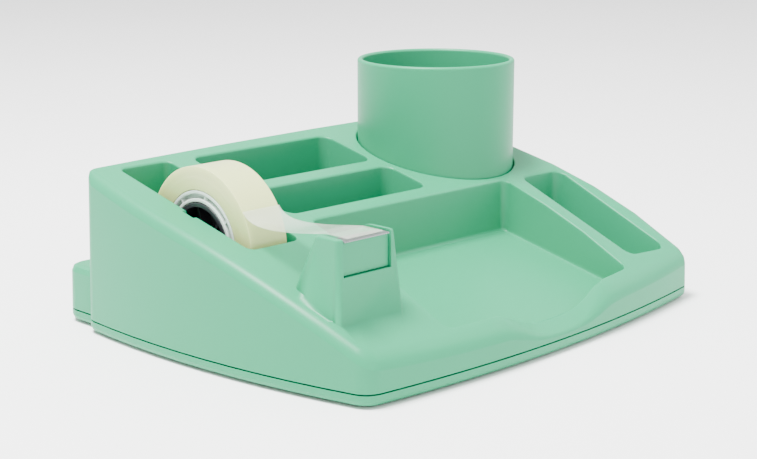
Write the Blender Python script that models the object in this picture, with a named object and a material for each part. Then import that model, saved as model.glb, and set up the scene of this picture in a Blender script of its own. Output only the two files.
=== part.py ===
"""Desk organiser with a tape dispenser: a moulded body on a screwed-on base tray, with a lift-out
pen cup, a tape roll on a lift-out hub, and a toothed cutter. +X is to the right, +Y to the back and
+Z up. The origin is on the table, under the middle of the body."""

import math

import bmesh
import bpy
from mathutils import Matrix, Vector
from mathutils.geometry import delaunay_2d_cdt

MM = 0.001

# Clearances
GAP = 0.3 * MM  # between pieces that touch
RUNNING_GAP = 0.1 * MM  # between the axle and the bore that turns on it

# Body outline, seen from above. Each side is a shallow arc that bulges outwards.
BODY_LEFT_X = -115 * MM  # where the left side bulges most
BODY_FRONT_Y = -92.6 * MM
BODY_BACK_Y = 77 * MM
SIDE_BULGE_RADIUS = 421 * MM
SIDE_BULGE_Y = 24.9 * MM
RIGHT_BULGE_RADIUS = 3000 * MM
RIGHT_BULGE_X = 119.0 * MM
RIGHT_BULGE_Y = -190 * MM  # in front of the body, so the right side leans outwards to the front
FRONT_BULGE_RADIUS = 656 * MM
FRONT_BULGE_X = -23.3 * MM
BACK_BULGE_RADIUS = 3000 * MM
BACK_BULGE_X = 65 * MM
BODY_CORNER_RADII = [6 * MM, 9 * MM, 9 * MM, 9 * MM]  # from the front right, to the left round the body
STRAIGHT = 20.0  # radius that makes a side as good as straight
LEDGE_X = (-108 * MM, 108 * MM)
LEDGE_BACK_Y = 92.6 * MM
LEDGE_FRONT_Y = 69.3 * MM  # inside the body
LEDGE_HEIGHT = 25.5 * MM
LEDGE_CORNER_RADII = [4 * MM, 4 * MM, 8 * MM, 8 * MM]
LEDGE_DRAFT = 0.4 * MM
LEDGE_EDGE_RADIUS = 3 * MM

# Heights and walls
FOOT_HEIGHT = 1.0 * MM  # base underside above the table
SEAM_HEIGHT = 6.0 * MM
SEAM_GAP = 0.7 * MM
WALL = 1.8 * MM
BODY_DRAFT = math.radians(1.2)
BODY_EDGE_RADIUS = 4.5 * MM
BACK_EDGE_RADIUS = 1.5 * MM  # along the back, where the compartments come close
LEAST_EDGE_RADIUS = 0.2 * MM

# Deck: straight at the back, then curving down to the front
DECK_BACK_HEIGHT = 71.7 * MM  # at the back wall
DECK_SLOPE = math.radians(13.2)
DECK_BEND_Y = 6 * MM
DECK_BEND_RADIUS = 380 * MM
DECK_FALL = 0.6  # share of the front's curve that the deck follows down, right of the bulge
SCOOP_X = 11 * MM  # finger scoop in the front lip
SCOOP_WIDTH = 74 * MM
SCOOP_DEPTH = 8.6 * MM
SCOOP_BACK_Y = -70 * MM

# Pockets in the deck
RIM_RADIUS = 1.0 * MM
POCKET_DRAFT = math.radians(1.0)
POCKET_FLOOR_RADIUS = 3 * MM
POCKET_FLOOR_Z = 10 * MM
POCKET_CORNER_RADIUS = 5 * MM
COMPARTMENT_LEFT_X = -57.7 * MM
BACK_COMPARTMENT_RIGHT_X = 22.5 * MM
MIDDLE_COMPARTMENT_RIGHT_X = 24.5 * MM
BACK_COMPARTMENT_Y = (34.0 * MM, 65.5 * MM)
MIDDLE_COMPARTMENT_Y = (0.7 * MM, 26.0 * MM)
TRAY_X = (-53.2 * MM, 68.0 * MM)
TRAY_BACK_Y = -7.0 * MM
TRAY_CORNER_RADIUS = 3.5 * MM
TRAY_LIP = 8 * MM  # front lip, measured along the body's centre
TRAY_FLOOR_BACK_Z = 28 * MM
TRAY_FLOOR_SLOPE = math.radians(12.6)
TROUGH_X = (78.2 * MM, 105.0 * MM)
TROUGH_Y = (-72.0 * MM, -8.2 * MM)

# Pen cup and its socket
CUP_CENTRE = Vector((64.9 * MM, 34.0 * MM))
CUP_RADIUS = 37.0 * MM
CUP_WALL = 2.5 * MM
CUP_FLOOR = 3.0 * MM
CUP_RIM_Z = 104.8 * MM
CUP_SOCKET_CLEARANCE = 0.5 * MM
SOCKET_FLOOR_Z = 8.0 * MM

# Tape roll, hub and well
TAPE_WIDTH = 19.0 * MM
TAPE_ROLL_RADIUS = 32.1 * MM
CORE_OUTER_RADIUS = 22.2 * MM
CORE_BORE_RADIUS = 17.5 * MM
CORE_RING_WALL = 1.4 * MM
CORE_RIB = 0.9 * MM
CORE_WEB_DEPTH = 3.0 * MM  # from the core's ends to the web between its rings
CORE_RIB_COUNT = 8
TAPE_CENTRE_X = -82.8 * MM
ROLL_AXIS_Y = 17.0 * MM
ROLL_AXIS_Z = 43.9 * MM
WELL_SIDE_GAP = 3.6 * MM  # tape to each side wall of the well
WELL_Y = (-18.5 * MM, 66.0 * MM)
WELL_FLOOR_Z = 8.2 * MM
AXLE_RADIUS = 3.3 * MM
SLOT_CLEARANCE = 0.35 * MM
SLOT_DEPTH = 2.5 * MM
BEARING_WALL = 1.8 * MM
HUB_RIM_WALL = 1.8 * MM
HUB_BOSS_RADIUS = 6.5 * MM
HUB_WEB = 2.0 * MM

# Cutter head
HEAD_TOP_Z = 60.8 * MM
HEAD_TOP_X = (-97.0 * MM, -67.0 * MM)
HEAD_TOP_Y = (-70.0 * MM, -55.9 * MM)
HEAD_ROOT_Z = 22.0 * MM
HEAD_ROOT_X = (-97.6 * MM, -61.4 * MM)
HEAD_ROOT_Y = (-70.4 * MM, -36.0 * MM)
HEAD_FRONT_CORNER = 2.4 * MM
HEAD_BACK_CORNER = 3.5 * MM
HEAD_EDGE_RADIUS = 1.0 * MM
CHEEK = 2.5 * MM
WINDOW_SILL_Z = 46.2 * MM
INSERT_RECESS = 1.2 * MM
INSERT_TOP_Z = 59.4 * MM
INSERT_WALL = 2.0 * MM
BLADE_THICKNESS = 0.6 * MM
BLADE_DEPTH = 7.0 * MM
BLADE_OVERHANG = 1.4 * MM  # tooth tips in front of the insert's front face
TOOTH_COUNT = 20
TOOTH_DEPTH = 1.1 * MM
TAIL_THICKNESS = 0.3 * MM

# Base tray, screws, feet and ballast
BASE_FLOOR = 2.2 * MM
BASE_EDGE_RADIUS = 2.0 * MM
TONGUE_WALL = 1.5 * MM
TONGUE_HEIGHT = 3.0 * MM
TONGUE_NOTCH_Y = -84 * MM  # the tongue is left out under the low front lip
BOSS_RADIUS = 3.4 * MM
SCREW_RADIUS = 1.5 * MM
PILOT_RADIUS = 1.8 * MM
SCREW_HEAD_RADIUS = 3.2 * MM
SCREW_HEAD_HEIGHT = 1.9 * MM
SCREW_LENGTH = 12.0 * MM
CASE_SCREWS = [
    (-105.4 * MM, 10.0 * MM),
    (-88.0 * MM, -81.0 * MM),
    (73.1 * MM, -58.0 * MM),
    (99.5 * MM, 0.5 * MM),
    (94.0 * MM, 83.0 * MM),
    (-94.0 * MM, 83.0 * MM),
]
FOOT_RADIUS = 7.0 * MM
FOOT_THICKNESS = 2.0 * MM
FEET = [
    (-93.0 * MM, -60.0 * MM),
    (0.0 * MM, -79.0 * MM),
    (96.0 * MM, -62.0 * MM),
    (-80.0 * MM, 78.0 * MM),
    (0.0 * MM, 80.0 * MM),
    (80.0 * MM, 78.0 * MM),
]
BALLAST_X = (-100.0 * MM, -58.5 * MM)
BALLAST_Y = (-71.0 * MM, -25.0 * MM)
BALLAST_THICKNESS = 4.0 * MM
BALLAST_PLATES = 2
BALLAST_POST_RADIUS = 3.6 * MM
BALLAST_POSTS_Y = (-61.0 * MM, -35.0 * MM)
BALLAST_SCREW_HEAD_RADIUS = 6.0 * MM

# Rounding
CORNER_STEPS = 5
EDGE_STEPS = 3
CIRCLE_STEPS = 48


# ---------------------------------------------------------------- shapes

def front_y(x):
    """Where the body's front is, at x."""
    return BODY_FRONT_Y + FRONT_BULGE_RADIUS - math.sqrt(FRONT_BULGE_RADIUS ** 2 - (x - FRONT_BULGE_X) ** 2)


def deck_height(x, y):
    """Height of the deck: a slope at the back, an arc in front of it, and the scoop in the front lip."""
    if x > FRONT_BULGE_X and y < DECK_BEND_Y:
        part = min((DECK_BEND_Y - y) / (DECK_BEND_Y - front_y(x)), 1)
        y -= DECK_FALL * (front_y(x) - BODY_FRONT_Y) * part ** 1.5
    bend_z = DECK_BACK_HEIGHT - (BODY_BACK_Y - DECK_BEND_Y) * math.tan(DECK_SLOPE)
    if y >= DECK_BEND_Y:
        height = bend_z + (y - DECK_BEND_Y) * math.tan(DECK_SLOPE)
    else:
        turned = math.asin(math.sin(DECK_SLOPE) + (DECK_BEND_Y - y) / DECK_BEND_RADIUS)
        height = bend_z - DECK_BEND_RADIUS * (math.cos(DECK_SLOPE) - math.cos(turned))
    across = abs(x - SCOOP_X) / (SCOOP_WIDTH / 2)
    if across < 1 and y < SCOOP_BACK_Y:
        height -= SCOOP_DEPTH * 0.5 * (1 + math.cos(math.pi * across ** 1.6))
    return height


def arc_points(centre, radius, start, end, steps):
    """(point, outward normal) pairs along an arc, turning left from start to end."""
    points = []
    for step in range(steps + 1):
        angle = start + (end - start) * step / steps
        normal = Vector((math.cos(angle), math.sin(angle)))
        points.append((centre + normal * radius, normal))
    return points


def circle_meet(centre_a, radius_a, centre_b, radius_b, near):
    """The point where two circles cross that is nearest to near."""
    across = centre_b - centre_a
    distance = across.length
    along = (radius_a ** 2 - radius_b ** 2 + distance ** 2) / (2 * distance)
    half = math.sqrt(radius_a ** 2 - along ** 2)
    unit = across / distance
    side = Vector((-unit.y, unit.x))
    middle = centre_a + unit * along
    return min((middle + side * half, middle - side * half), key=lambda point: (point - near).length)


def bulged_outline(sides, corners, radii, side_steps):
    """A loop of arcs, each a (centre, radius) in order to the left, joined by rounded corners.

    corners are points near the joints."""
    count = len(sides)
    joints = []
    for index in range(count):
        centre_a, radius_a = sides[index]
        centre_b, radius_b = sides[(index + 1) % count]
        reach_a, reach_b = radius_a - radii[index], radius_b - radii[index]
        joints.append(circle_meet(centre_a, reach_a, centre_b, reach_b, corners[index]))
    loop = []
    for index in range(count):
        centre, side_radius = sides[index]
        start = joints[index - 1] - centre
        end = joints[index] - centre
        start_angle = math.atan2(start.y, start.x)
        end_angle = start_angle - start.angle_signed(end)
        loop += arc_points(centre, side_radius, start_angle, end_angle, side_steps[index])[1:-1]
        after = joints[index] - sides[(index + 1) % count][0]
        corner_end = end_angle - end.angle_signed(after)
        loop += arc_points(joints[index], radii[index], end_angle, corner_end, CORNER_STEPS)
    return loop


def straight_side(point, normal):
    """A side through a point, as the arc of a very large circle."""
    return (Vector(point) - Vector(normal) * STRAIGHT, STRAIGHT)


def rounded_polygon(points, radii, steps=CORNER_STEPS):
    """A loop around straight-sided points, given in order to the left, each with its corner radius."""
    loop = []
    count = len(points)
    for index, radius in enumerate(radii):
        here = Vector(points[index])
        back = (Vector(points[index - 1]) - here).normalized()
        ahead = (Vector(points[(index + 1) % count]) - here).normalized()
        half = back.angle(ahead) / 2
        centre = here + (back + ahead).normalized() * radius / math.sin(half)
        start = math.atan2(back.x, -back.y)
        loop += arc_points(centre, radius, start, start + math.pi - 2 * half, steps)
    return loop


def rectangle(x_range, y_range, radius, steps=CORNER_STEPS):
    (left, right), (front, back) = x_range, y_range
    radii = radius if isinstance(radius, list) else [radius] * 4
    return rounded_polygon([(left, front), (right, front), (right, back), (left, back)], radii, steps)


def circle(centre, radius, steps=CIRCLE_STEPS):
    return arc_points(Vector(centre), radius, 0, 2 * math.pi * (steps - 1) / steps, steps - 1)


def inside(point, polygon):
    """True if the point is inside the polygon."""
    found = False
    for index in range(len(polygon)):
        a, b = polygon[index - 1], polygon[index]
        if (a.y > point.y) != (b.y > point.y):
            if point.x < a.x + (b.x - a.x) * (point.y - a.y) / (b.y - a.y):
                found = not found
    return found


def ring(mesh, loop, offset, height):
    """A ring of vertices on the loop, moved outwards by offset, at a height or a function of x and y."""
    made = []
    for point, normal in loop:
        moved = point + normal * offset
        z = height(moved.x, moved.y) if callable(height) else height
        made.append(mesh.verts.new((moved.x, moved.y, z)))
    return made


def bridge(mesh, lower, upper):
    count = len(lower)
    for index in range(count):
        after = (index + 1) % count
        mesh.faces.new((lower[index], lower[after], upper[after], upper[index]))


def cap(mesh, outer, holes, height, spacing):
    """Fills between an outer ring and the rings of its holes with a surface that follows height(x, y)."""
    rings = [outer] + holes
    flat = []
    edges = []
    for verts in rings:
        first = len(flat)
        flat += [Vector((vert.co.x, vert.co.y)) for vert in verts]
        edges += [(first + i, first + (i + 1) % len(verts)) for i in range(len(verts))]
    known = [vert for verts in rings for vert in verts]
    polygons = [[Vector((v.co.x, v.co.y)) for v in verts] for verts in rings]
    low = Vector((min(p.x for p in flat), min(p.y for p in flat)))
    high = Vector((max(p.x for p in flat), max(p.y for p in flat)))
    columns = int((high.x - low.x) / spacing)
    rows = int((high.y - low.y) / spacing)
    extra = []
    for column in range(1, columns):
        for row in range(1, rows):
            point = low + Vector((column * spacing, row * spacing))
            if not inside(point, polygons[0]) or any(inside(point, hole) for hole in polygons[1:]):
                continue
            if min((point - other).length for other in flat) > spacing * 0.55:
                extra.append(point)
    coords = flat + extra
    result = delaunay_2d_cdt(coords, edges, [], 0, 1e-7)
    points, faces, origins = result[0], result[2], result[3]
    made = {}
    for index, point in enumerate(points):
        source = origins[index][0]
        if source < len(known):
            made[index] = known[source]
        else:
            made[index] = mesh.verts.new((point.x, point.y, height(point.x, point.y)))
    for face in faces:
        middle = sum((points[i] for i in face), Vector((0, 0))) / len(face)
        if inside(middle, polygons[0]) and not any(inside(middle, hole) for hole in polygons[1:]):
            mesh.faces.new([made[i] for i in face])
    for vert in [v for v in mesh.verts if not v.link_faces]:
        mesh.verts.remove(vert)


def finish(mesh, name):
    """Turns the mesh's faces outwards and makes it an object."""
    bmesh.ops.recalc_face_normals(mesh, faces=mesh.faces)
    data = bpy.data.meshes.new(name)
    mesh.to_mesh(data)
    mesh.free()
    piece = bpy.data.objects.new(name, data)
    bpy.context.scene.collection.objects.link(piece)
    return piece


def stack(name, loop, levels):
    """A solid through rings of one loop, given as (offset, height) from the bottom up, with flat ends."""
    mesh = bmesh.new()
    rings = [ring(mesh, loop, offset, height) for offset, height in levels]
    for lower, upper in zip(rings, rings[1:]):
        bridge(mesh, lower, upper)
    mesh.faces.new(list(reversed(rings[0])))
    mesh.faces.new(rings[-1])
    return finish(mesh, name)


def box(name, low, high):
    size = [high[i] - low[i] for i in range(3)]
    middle = [(high[i] + low[i]) / 2 for i in range(3)]
    mesh = bmesh.new()
    place = Matrix.Translation(middle) @ Matrix.Diagonal((*size, 1))
    bmesh.ops.create_cube(mesh, size=1, matrix=place)
    return finish(mesh, name)


def drum(name, radius, low, high, centre, axis="Z", steps=24):
    """A cylinder from low to high along an axis, round the centre given on the other two axes."""
    turn = {"Z": Matrix.Identity(4), "X": Matrix.Rotation(math.pi / 2, 4, "Y")}[axis]
    at = {"Z": (centre[0], centre[1], (low + high) / 2), "X": ((low + high) / 2, centre[0], centre[1])}[axis]
    mesh = bmesh.new()
    bmesh.ops.create_cone(
        mesh, cap_ends=True, segments=steps, radius1=radius, radius2=radius, depth=high - low,
        matrix=Matrix.Translation(at) @ turn,
    )
    return finish(mesh, name)


def joined(name, pieces):
    """Several pieces that don't touch, as one object. The first keeps its data."""
    mesh = bmesh.new()
    for piece in pieces:
        mesh.from_mesh(piece.data)
        bpy.data.objects.remove(piece)
    return finish(mesh, name)


def combine(piece, other, operation):
    """A Boolean on the piece, with the other object kept as a hidden helper."""
    modifier = piece.modifiers.new(f"{operation.lower()} {other.name}", "BOOLEAN")
    modifier.operation = operation
    modifier.solver = "EXACT"
    modifier.object = other
    other.hide_render = True
    other.display_type = "WIRE"


def finish_look(piece, material, angle=35):
    piece.data.materials.clear()
    piece.data.materials.append(material)
    piece.data.shade_smooth()
    piece.data.set_sharp_from_angle(angle=math.radians(angle))


def material(name, colour, roughness, metallic=0.0, alpha=1.0):
    made = bpy.data.materials.new(name)
    made.use_nodes = True
    shader = made.node_tree.nodes["Principled BSDF"]
    shader.inputs["Base Color"].default_value = (*colour, 1)
    shader.inputs["Roughness"].default_value = roughness
    shader.inputs["Metallic"].default_value = metallic
    shader.inputs["Alpha"].default_value = alpha
    made.diffuse_color = (*colour, 1)
    return made


# ---------------------------------------------------------------- body outline and pockets

def body_sides():
    """The body's sides from the front, to the left round the body."""
    front = (Vector((FRONT_BULGE_X, BODY_FRONT_Y + FRONT_BULGE_RADIUS)), FRONT_BULGE_RADIUS)
    right = (Vector((RIGHT_BULGE_X - RIGHT_BULGE_RADIUS, RIGHT_BULGE_Y)), RIGHT_BULGE_RADIUS)
    back = (Vector((BACK_BULGE_X, BODY_BACK_Y - BACK_BULGE_RADIUS)), BACK_BULGE_RADIUS)
    left = (Vector((BODY_LEFT_X + SIDE_BULGE_RADIUS, SIDE_BULGE_Y)), SIDE_BULGE_RADIUS)
    return [front, right, back, left]


def body_outline():
    """The body's outline at its foot, as a loop to the left from its front left corner."""
    corners = [Vector((RIGHT_BULGE_X, y)) for y in (BODY_FRONT_Y, BODY_BACK_Y)]
    corners += [Vector((BODY_LEFT_X, y)) for y in (BODY_BACK_Y, BODY_FRONT_Y)]
    return bulged_outline(body_sides(), corners, BODY_CORNER_RADII, [24, 6, 8, 10])


def edge_radius_at(point, normal):
    """Radius of the rounding between a side and the deck: small along the back and on the low front lip."""
    backwards = min(max((normal.y - 0.3) / 0.5, 0), 1)
    radius = BODY_EDGE_RADIUS + (BACK_EDGE_RADIUS - BODY_EDGE_RADIUS) * backwards
    return min(radius, 0.45 * (deck_height(point.x, point.y) - SEAM_HEIGHT))


def ledge_outline(offset=0.0, start_y=LEDGE_FRONT_Y):
    """The low ledge behind the body. Its front is inside the body."""
    loop = rectangle(LEDGE_X, (start_y, LEDGE_BACK_Y), LEDGE_CORNER_RADII)
    return [(point + normal * offset, normal) for point, normal in loop]


def tray_outline():
    """The memo tray, whose front follows the curve of the body's front."""
    left, right = TRAY_X
    centre, radius = body_sides()[0]
    sides = [
        (centre, radius - TRAY_LIP),
        straight_side((right, 0), (1, 0)),
        straight_side((0, TRAY_BACK_Y), (0, 1)),
        straight_side((left, 0), (-1, 0)),
    ]
    corners = [Vector((x, y)) for x, y in ((right, BODY_FRONT_Y), (right, TRAY_BACK_Y))]
    corners += [Vector((left, TRAY_BACK_Y)), Vector((left, BODY_FRONT_Y))]
    return bulged_outline(sides, corners, [TRAY_CORNER_RADIUS] * 4, [14, 3, 4, 3])


def tray_floor(x, y):
    return TRAY_FLOOR_BACK_Z - (TRAY_BACK_Y - y) * math.tan(TRAY_FLOOR_SLOPE)


def flat_floor(height):
    return lambda x, y: height


def well_x():
    half = TAPE_WIDTH / 2 + WELL_SIDE_GAP
    return (TAPE_CENTRE_X - half, TAPE_CENTRE_X + half)


def pockets():
    """Each pocket as (loop at the wall's top, floor height, draft, floor radius)."""
    floor = flat_floor(POCKET_FLOOR_Z)
    back = rectangle((COMPARTMENT_LEFT_X, BACK_COMPARTMENT_RIGHT_X), BACK_COMPARTMENT_Y, POCKET_CORNER_RADIUS)
    middle = rectangle(
        (COMPARTMENT_LEFT_X, MIDDLE_COMPARTMENT_RIGHT_X), MIDDLE_COMPARTMENT_Y, POCKET_CORNER_RADIUS
    )
    trough = rectangle(TROUGH_X, TROUGH_Y, POCKET_CORNER_RADIUS)
    well = rectangle(well_x(), WELL_Y, POCKET_CORNER_RADIUS * 0.7)
    socket = circle(CUP_CENTRE, CUP_RADIUS + CUP_SOCKET_CLEARANCE)
    return [
        (back, floor, POCKET_DRAFT, POCKET_FLOOR_RADIUS),
        (middle, floor, POCKET_DRAFT, POCKET_FLOOR_RADIUS),
        (trough, floor, POCKET_DRAFT, POCKET_FLOOR_RADIUS),
        (well, flat_floor(WELL_FLOOR_Z), 0.0, POCKET_FLOOR_RADIUS),
        (socket, flat_floor(SOCKET_FLOOR_Z), 0.0, 0.5 * MM),
        (tray_outline(), tray_floor, POCKET_DRAFT, 1.5 * MM),
    ]


def body_block(name, inset, foot_z):
    """The body as a solid block with its pockets. With an inset, it is the space inside the skin."""
    mesh = bmesh.new()
    outline = body_outline()

    def deck(x, y):
        return deck_height(x, y) - inset

    def wall_offset(point):
        return -inset - math.tan(BODY_DRAFT) * (deck(point.x, point.y) - SEAM_HEIGHT)

    foot = ring(mesh, outline, -inset, foot_z)
    rings = [foot]
    for step in range(EDGE_STEPS + 1):
        angle = math.pi / 2 * step / EDGE_STEPS
        verts = []
        for point, normal in outline:
            edge = max(edge_radius_at(point, normal) - inset, LEAST_EDGE_RADIUS)
            at = point + normal * (wall_offset(point) - edge * (1 - math.cos(angle)))
            z = deck(at.x, at.y) - edge * (1 - math.sin(angle))
            verts.append(mesh.verts.new((at.x, at.y, z)))
        rings.append(verts)
    for lower, upper in zip(rings, rings[1:]):
        bridge(mesh, lower, upper)
    mesh.faces.new(list(reversed(foot)))
    deck_edge = rings[-1]

    openings = []
    for loop, floor, draft, floor_radius in pockets():
        levels = []
        if inset == 0:
            for angle in (0.0, math.pi / 4):
                offset = RIM_RADIUS * (1 - math.sin(angle))
                drop = RIM_RADIUS * (1 - math.cos(angle))
                levels.append((offset, lambda x, y, d=drop: deck(x, y) - d))
            levels.append((0.0, lambda x, y: deck(x, y) - RIM_RADIUS))
        else:
            levels.append((inset, deck))
        corner = floor_radius + inset
        depth = max(deck(p.x, p.y) - floor(p.x, p.y) for p, n in loop)
        narrowed = inset - math.tan(draft) * depth
        for angle in (0.0, math.pi / 4, math.pi / 2):
            offset = narrowed - corner * (1 - math.cos(angle))
            rise = corner * (1 - math.sin(angle)) - inset
            levels.append((offset, lambda x, y, f=floor, r=rise: f(x, y) + r))
        rings = [ring(mesh, loop, offset, height) for offset, height in levels]
        for upper, lower in zip(rings, rings[1:]):
            bridge(mesh, lower, upper)
        mesh.faces.new(rings[-1])
        openings.append(rings[0])
    cap(mesh, deck_edge, openings, deck, 13 * MM)
    return finish(mesh, name)


# ---------------------------------------------------------------- top shell

def lofted(name, lower, lower_z, upper, upper_z, edge_radius):
    """A solid between two loops of equal length at two heights, with its top edge rounded."""
    mesh = bmesh.new()
    rings = [ring(mesh, lower, 0.0, lower_z)]
    for step in range(EDGE_STEPS):
        angle = math.pi / 2 * step / (EDGE_STEPS - 1)
        height = upper_z - edge_radius * (1 - math.sin(angle))
        part = (height - lower_z) / (upper_z - lower_z)
        verts = []
        for (low_point, low_normal), (high_point, high_normal) in zip(lower, upper):
            at = low_point.lerp(high_point, part) - high_normal * edge_radius * (1 - math.cos(angle))
            verts.append(mesh.verts.new((at.x, at.y, height)))
        rings.append(verts)
    for below, above in zip(rings, rings[1:]):
        bridge(mesh, below, above)
    mesh.faces.new(list(reversed(rings[0])))
    mesh.faces.new(rings[-1])
    return finish(mesh, name)


def head_loop(x_range, y_range, inset=0.0):
    radii = [HEAD_FRONT_CORNER, HEAD_FRONT_CORNER, HEAD_BACK_CORNER, HEAD_BACK_CORNER]
    loop = rectangle(x_range, y_range, radii, 3)
    return [(point - normal * inset, normal) for point, normal in loop]


def head_block(name, inset, low_z, high_z, edge_radius):
    """The cutter head as a solid tower, or with an inset the space inside it."""
    def at(height):
        part = (height - HEAD_ROOT_Z) / (HEAD_TOP_Z - HEAD_ROOT_Z)
        spans = []
        for root, top in ((HEAD_ROOT_X, HEAD_TOP_X), (HEAD_ROOT_Y, HEAD_TOP_Y)):
            spans.append(tuple(a + (b - a) * part for a, b in zip(root, top)))
        return head_loop(spans[0], spans[1], inset)

    return lofted(name, at(low_z), low_z, at(high_z), high_z, edge_radius)


def window_x():
    return (HEAD_TOP_X[0] + CHEEK, HEAD_TOP_X[1] - CHEEK)


def slot_cutter(name, side):
    """The guide slot for the axle in one side wall of the well: round at its foot and open upwards."""
    wall = well_x()[0 if side < 0 else 1]
    low_x, high_x = sorted((wall + side * SLOT_DEPTH, wall - side * 1 * MM))
    half = AXLE_RADIUS + SLOT_CLEARANCE
    loop = arc_points(Vector((0, 0)), half, math.pi, 2 * math.pi, 12)
    top = deck_height(0, ROLL_AXIS_Y) + 5 * MM - ROLL_AXIS_Z
    outline = [point for point, normal in loop] + [Vector((half, top)), Vector((-half, top))]
    mesh = bmesh.new()
    ends = []
    for x in (low_x, high_x):
        ends.append([mesh.verts.new((x, ROLL_AXIS_Y + p.x, ROLL_AXIS_Z + p.y)) for p in outline])
    bridge(mesh, ends[0], ends[1])
    mesh.faces.new(ends[0])
    mesh.faces.new(ends[1])
    return finish(mesh, name)


def make_top_shell(plastic):
    shell = body_block("top_shell", 0.0, SEAM_HEIGHT)
    space = body_block("shell_space", WALL, -5 * MM)

    ledge_top = LEDGE_HEIGHT - LEDGE_EDGE_RADIUS
    corner = LEDGE_EDGE_RADIUS * (1 - math.sqrt(0.5))
    levels = [(0, SEAM_HEIGHT), (-LEDGE_DRAFT, ledge_top), (-LEDGE_DRAFT - corner, LEDGE_HEIGHT - corner)]
    levels.append((-LEDGE_DRAFT - LEDGE_EDGE_RADIUS, LEDGE_HEIGHT))
    ledge = stack("ledge_block", ledge_outline(), levels)
    socket_radius = CUP_RADIUS + CUP_SOCKET_CLEARANCE
    ledge_socket = drum("ledge_socket", socket_radius + WALL / 2, 0, 40 * MM, CUP_CENTRE, steps=48)
    combine(ledge, ledge_socket, "DIFFERENCE")
    combine(shell, ledge, "UNION")
    space_top = LEDGE_HEIGHT - WALL
    levels = [(0, -6 * MM), (-LEDGE_DRAFT, space_top - 1.2 * MM), (-LEDGE_DRAFT - 1.2 * MM, space_top)]
    ledge_space = stack("ledge_space", ledge_outline(-WALL, LEDGE_FRONT_Y - WALL - 0.9 * MM), levels)
    socket_wall = drum("socket_wall", socket_radius + WALL + 2 * GAP, -10 * MM, 40 * MM, CUP_CENTRE, steps=48)
    combine(ledge_space, socket_wall, "DIFFERENCE")
    combine(space, ledge_space, "UNION")

    low_z = deck_height(0, HEAD_ROOT_Y[0]) - 3.5 * MM
    combine(shell, head_block("head_block", 0.0, HEAD_ROOT_Z, HEAD_TOP_Z, HEAD_EDGE_RADIUS), "UNION")
    space_top = WINDOW_SILL_Z - WALL
    combine(space, head_block("head_space", WALL, low_z, space_top, HEAD_EDGE_RADIUS / 5), "UNION")

    bosses = [
        drum(f"case_boss_{index}", BOSS_RADIUS, SEAM_HEIGHT - GAP, 90 * MM, at, steps=16)
        for index, at in enumerate(CASE_SCREWS)
    ]
    combine(space, joined("case_bosses", bosses), "DIFFERENCE")
    bearings = []
    for side, wall in zip((-1, 1), well_x()):
        low_x, high_x = sorted((wall, wall + side * (SLOT_DEPTH + BEARING_WALL)))
        reach = AXLE_RADIUS + SLOT_CLEARANCE + BEARING_WALL
        low = (low_x, ROLL_AXIS_Y - reach, ROLL_AXIS_Z - reach)
        high = (high_x, ROLL_AXIS_Y + reach, 90 * MM)
        bearings.append(box("bearing", low, high))
    combine(space, joined("bearings", bearings), "DIFFERENCE")
    combine(shell, space, "DIFFERENCE")

    cutters = [slot_cutter("slot", -1), slot_cutter("slot", 1)]
    left, right = window_x()
    top = HEAD_TOP_Z + 5 * MM
    cutters.append(box("window", (left, HEAD_ROOT_Y[0] - 5 * MM, WINDOW_SILL_Z), (right, HEAD_ROOT_Y[1], top)))
    for at in CASE_SCREWS:
        high_z = SEAM_HEIGHT + SCREW_LENGTH
        cutters.append(drum("pilot", PILOT_RADIUS, 0, high_z, at, steps=12))
    combine(shell, joined("shell_cuts", cutters), "DIFFERENCE")
    finish_look(shell, plastic)
    return shell


# ---------------------------------------------------------------- base tray

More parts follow.
